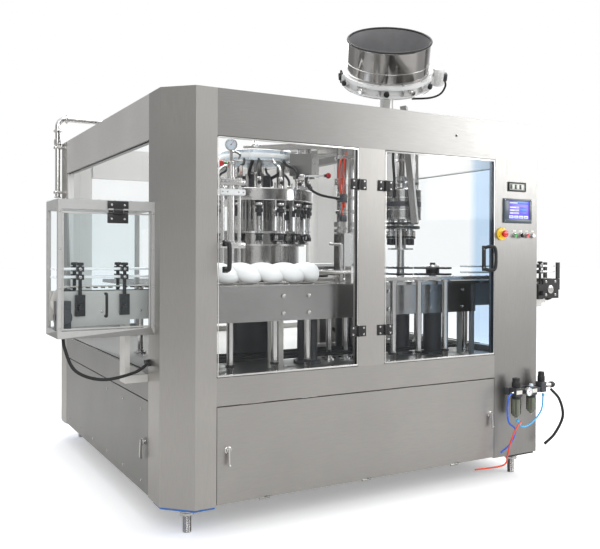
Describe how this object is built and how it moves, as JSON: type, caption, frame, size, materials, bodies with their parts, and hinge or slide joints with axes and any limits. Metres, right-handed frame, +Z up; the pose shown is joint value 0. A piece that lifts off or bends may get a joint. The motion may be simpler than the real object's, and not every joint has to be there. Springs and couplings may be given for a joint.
{
  "type": "rotary filling and capping machine",
  "caption": "Enclosed rotary bottle filling and capping machine: stainless cabinet with clear hinged doors, filler carousel, capping turret, roof cap sorter, conveyors.",
  "frame": {"origin": "centre of the whole machine's footprint (its bounding box), at floor level", "axes": "+X along the front to the right, +Y from the front to the back, +Z up"},
  "size_m": [3.526, 2.6766, 3.0031],
  "materials": {
    "brushed_steel": "satin brushed stainless sheet",
    "polished_steel": "polished stainless",
    "cast_dark": "dark enamel",
    "drive_steel": "machined",
    "black_plastic": "moulded",
    "clear_sheet": "clear",
    "white_plastic": "machined polyethylene",
    "valve_steel": "satin, black sleeves",
    "red_plastic": "gloss",
    "green_plastic": "gloss",
    "white_gloss": "gloss",
    "panel_plastic": "satin dark bezel",
    "tube_plastic": "polyurethane tube",
    "dial": "dial behind glass",
    "guard_paint": "pale satin",
    "star_plastic": "machined black nylon",
    "air_body": "tinted bowls on a grey body"
  },
  "bodies": {
    "cabinet": {"base_frame": "brushed_steel", "levelling_feet": "polished_steel", "corner_posts": "brushed_steel", "control_post": "brushed_steel", "roof_frame": "brushed_steel", "side_panels": "brushed_steel", "clear_windows": "clear_sheet", "bed_plate": "brushed_steel", "deck_columns": "polished_steel", "deck_table": "polished_steel", "deck_skirt": "polished_steel", "bearing_housings": "cast_dark", "main_motor": "cast_dark", "conveyor_frames": "brushed_steel", "conveyor_chains": "white_plastic", "infeed_guard": "guard_paint", "guide_rails": "white_plastic", "rail_clamps": "black_plastic", "filler_bridge": "polished_steel", "product_pipe": "polished_steel", "capper_housing": "polished_steel", "cap_chute": "polished_steel", "sorter_bowl": "polished_steel", "sorter_stand": "brushed_steel", "hinge_leaves": "black_plastic", "operator_panel": "panel_plastic", "air_unit": "air_body", "gauges": "dial", "air_tubes": "tube_plastic"},
    "left_door": {"left_door": "clear_sheet", "left_door_fittings": "black_plastic"},
    "right_door": {"right_door": "clear_sheet", "right_door_fittings": "black_plastic"},
    "front_panel": {"front_panel": "brushed_steel"},
    "left_latch": {"left_latch": "polished_steel"},
    "right_latch": {"right_latch": "polished_steel"},
    "filler": {"filler_turret": "polished_steel", "filler_valves": "valve_steel", "filler_gear": "drive_steel"},
    "infeed_star": {"infeed_star": "star_plastic"},
    "transfer_star": {"transfer_star": "star_plastic"},
    "exit_star": {"exit_star": "star_plastic"},
    "capper": {"capper_turret": "polished_steel"},
    "capping_head_1": {"capping_head_1": "polished_steel"},
    "capping_head_2": {"capping_head_2": "polished_steel"},
    "capping_head_3": {"capping_head_3": "polished_steel"},
    "capping_head_4": {"capping_head_4": "polished_steel"},
    "timing_screw": {"timing_screw": "white_plastic"},
    "motor_pinion": {"motor_pinion": "drive_steel"},
    "sorter_disc": {"sorter_disc": "cast_dark"},
    "guard_door": {"guard_door": "clear_sheet"},
    "emergency_button": {"emergency_button": "red_plastic"},
    "start_button": {"start_button": "green_plastic"},
    "stop_button": {"stop_button": "red_plastic"},
    "jog_button": {"jog_button": "white_gloss"},
    "mode_selector": {"mode_selector": "black_plastic"},
    "regulator_knob": {"regulator_knob": "black_plastic"},
    "valve_knob": {"valve_knob": "black_plastic"},
    "left_ball_lever": {"left_ball_lever": "red_plastic"},
    "right_ball_lever": {"right_ball_lever": "red_plastic"}
  },
  "joints": [
    {"name": "left_door_hinge", "type": "hinge", "parent": "cabinet", "child": "left_door", "pos_m": [-0.184, -1.22, 1.4], "axis": [0, 0, 1], "range_deg": [0, 90]},
    {"name": "right_door_hinge", "type": "hinge", "parent": "cabinet", "child": "right_door", "pos_m": [-0.002, -1.22, 1.4], "axis": [0, 0, -1], "range_deg": [0, 90]},
    {"name": "front_panel_hinge", "type": "hinge", "parent": "cabinet", "child": "front_panel", "pos_m": [-0.097, -1.212, 0.156], "axis": [1, 0, 0], "range_deg": [0, 90]},
    {"name": "left_latch_turn", "type": "hinge", "parent": "front_panel", "child": "left_latch", "pos_m": [-0.97, -1.212, 0.428], "axis": [0, 1, 0], "range_deg": [0, 90]},
    {"name": "right_latch_turn", "type": "hinge", "parent": "front_panel", "child": "right_latch", "pos_m": [0.803, -1.212, 0.428], "axis": [0, -1, 0], "range_deg": [0, 90]},
    {"name": "guard_door_hinge", "type": "hinge", "parent": "cabinet", "child": "guard_door", "pos_m": [-1.473, -1.006, 1.627], "axis": [-1, 0, 0], "range_deg": [0, 100]},
    {"name": "filler_spin", "type": "hinge", "parent": "cabinet", "child": "filler", "pos_m": [-0.348, -0.247, 1.2], "axis": [0, 0, 1], "continuous": true},
    {"name": "infeed_star_spin", "type": "hinge", "parent": "cabinet", "child": "infeed_star", "pos_m": [-0.2194, -0.71075, 1.2], "axis": [0, 0, 1], "continuous": true},
    {"name": "transfer_star_spin", "type": "hinge", "parent": "cabinet", "child": "transfer_star", "pos_m": [0.30484, -0.31383, 1.2], "axis": [0, 0, 1], "continuous": true},
    {"name": "exit_star_spin", "type": "hinge", "parent": "cabinet", "child": "exit_star", "pos_m": [0.75719, -0.71075, 1.2], "axis": [0, 0, 1], "continuous": true},
    {"name": "capper_spin", "type": "hinge", "parent": "cabinet", "child": "capper", "pos_m": [0.562, -0.612, 1.2], "axis": [0, 0, 1], "continuous": true},
    {"name": "capping_head_1_spin", "type": "hinge", "parent": "capper", "child": "capping_head_1", "pos_m": [0.55844, -0.52457, 1.55], "axis": [0, 0, 1], "continuous": true},
    {"name": "capping_head_2_spin", "type": "hinge", "parent": "capper", "child": "capping_head_2", "pos_m": [0.47457, -0.61555, 1.55], "axis": [0, 0, 1], "continuous": true},
    {"name": "capping_head_3_spin", "type": "hinge", "parent": "capper", "child": "capping_head_3", "pos_m": [0.56556, -0.69943, 1.55], "axis": [0, 0, 1], "continuous": true},
    {"name": "capping_head_4_spin", "type": "hinge", "parent": "capper", "child": "capping_head_4", "pos_m": [0.64943, -0.60845, 1.55], "axis": [0, 0, 1], "continuous": true},
    {"name": "timing_screw_spin", "type": "hinge", "parent": "cabinet", "child": "timing_screw", "pos_m": [-0.583, -0.94, 1.313], "axis": [1, 0, 0], "continuous": true},
    {"name": "motor_pinion_spin", "type": "hinge", "parent": "cabinet", "child": "motor_pinion", "pos_m": [-0.68314, 0.03422, 1.2], "axis": [0, 0, 1], "continuous": true},
    {"name": "sorter_disc_spin", "type": "hinge", "parent": "cabinet", "child": "sorter_disc", "pos_m": [0.521, -0.511, 2.67], "axis": [-0.2682, -0.474, 0.8387], "continuous": true},
    {"name": "left_ball_lever_turn", "type": "hinge", "parent": "cabinet", "child": "left_ball_lever", "pos_m": [-0.753, -0.757, 1.936], "axis": [0, 0, 1], "range_deg": [-60, 60]},
    {"name": "right_ball_lever_turn", "type": "hinge", "parent": "cabinet", "child": "right_ball_lever", "pos_m": [-0.208, -0.622, 1.903], "axis": [0, 0, 1], "range_deg": [-60, 0]},
    {"name": "emergency_button_press", "type": "slide", "parent": "cabinet", "child": "emergency_button", "axis": [0, 1, 0], "range_m": [0, 0.006]},
    {"name": "start_button_press", "type": "slide", "parent": "cabinet", "child": "start_button", "axis": [0, 1, 0], "range_m": [0, 0.004]},
    {"name": "stop_button_press", "type": "slide", "parent": "cabinet", "child": "stop_button", "axis": [0, 1, 0], "range_m": [0, 0.004]},
    {"name": "jog_button_press", "type": "slide", "parent": "cabinet", "child": "jog_button", "axis": [0, 1, 0], "range_m": [0, 0.004]},
    {"name": "mode_selector_turn", "type": "hinge", "parent": "cabinet", "child": "mode_selector", "pos_m": [1.055, -1.212, 1.542], "axis": [0, -1, 0], "range_deg": [-45, 45]},
    {"name": "regulator_knob_turn", "type": "hinge", "parent": "cabinet", "child": "regulator_knob", "pos_m": [0.96, -1.276, 0.62], "axis": [0, 0, 1], "continuous": true},
    {"name": "valve_knob_turn", "type": "hinge", "parent": "cabinet", "child": "valve_knob", "pos_m": [1.179, -1.276, 0.64], "axis": [0, 0, 1], "range_deg": [0, 90]}
  ],
  "couplings": [
    {"joint": "infeed_star_spin", "follows": "filler_spin", "ratio": -2.6667},
    {"joint": "transfer_star_spin", "follows": "filler_spin", "ratio": -1.1429},
    {"joint": "capper_spin", "follows": "filler_spin", "ratio": 4},
    {"joint": "exit_star_spin", "follows": "filler_spin", "ratio": -2.6667},
    {"joint": "motor_pinion_spin", "follows": "filler_spin", "ratio": -4},
    {"joint": "capping_head_1_spin", "follows": "filler_spin", "ratio": 8.7273},
    {"joint": "capping_head_2_spin", "follows": "filler_spin", "ratio": 8.7273},
    {"joint": "capping_head_3_spin", "follows": "filler_spin", "ratio": 8.7273},
    {"joint": "capping_head_4_spin", "follows": "filler_spin", "ratio": 8.7273},
    {"joint": "timing_screw_spin", "follows": "filler_spin", "ratio": 16}
  ]
}
